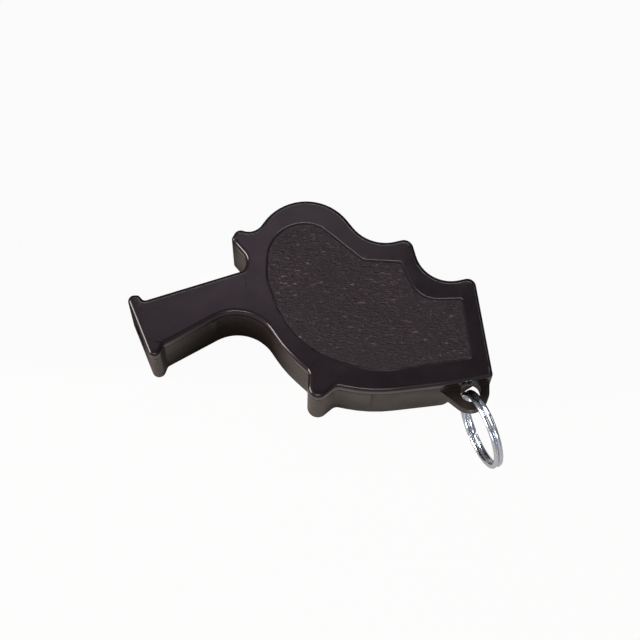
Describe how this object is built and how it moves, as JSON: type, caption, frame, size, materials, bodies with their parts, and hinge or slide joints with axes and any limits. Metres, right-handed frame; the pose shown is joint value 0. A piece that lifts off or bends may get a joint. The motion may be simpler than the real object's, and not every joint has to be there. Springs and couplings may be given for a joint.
{
  "type": "sports whistle with split ring",
  "caption": "Black plastic pea whistle with a bite lip, finger arch, two finger grips, a sunk grained side panel, a lug and a steel split ring.",
  "frame": {"origin": "on the far side face, on the axis of the inner round chamber", "axes": "+X from the mouth to the finger grips, +Y up the whistle's height to the dome, +Z through the thickness from the far face to the side cover"},
  "size_m": [0.0847, 0.0582, 0.019],
  "materials": {
    "shell_plastic": "moulded black plastic, glossy rims and satin walls",
    "cover_plastic": "moulded black plastic, smooth glossy border round a fine leather grain",
    "pea_plastic": "matte light ball",
    "ring_steel": "bright plated spring steel wire"
  },
  "bodies": {
    "whistle": {"body_shell": "shell_plastic", "side_cover": "cover_plastic"},
    "pea": {"pea": "pea_plastic"},
    "ring": {"split_ring": "ring_steel"}
  },
  "joints": [
    {"name": "ring_swing", "type": "hinge", "parent": "whistle", "child": "ring", "pos_m": [0.0311, -0.01987, 0.01175], "axis": [0, 0, 1], "range_deg": [-80, 70]},
    {"name": "pea_orbit", "type": "hinge", "parent": "whistle", "child": "pea", "pos_m": [0, 0, 0.007], "axis": [0, 0, 1], "continuous": true}
  ]
}
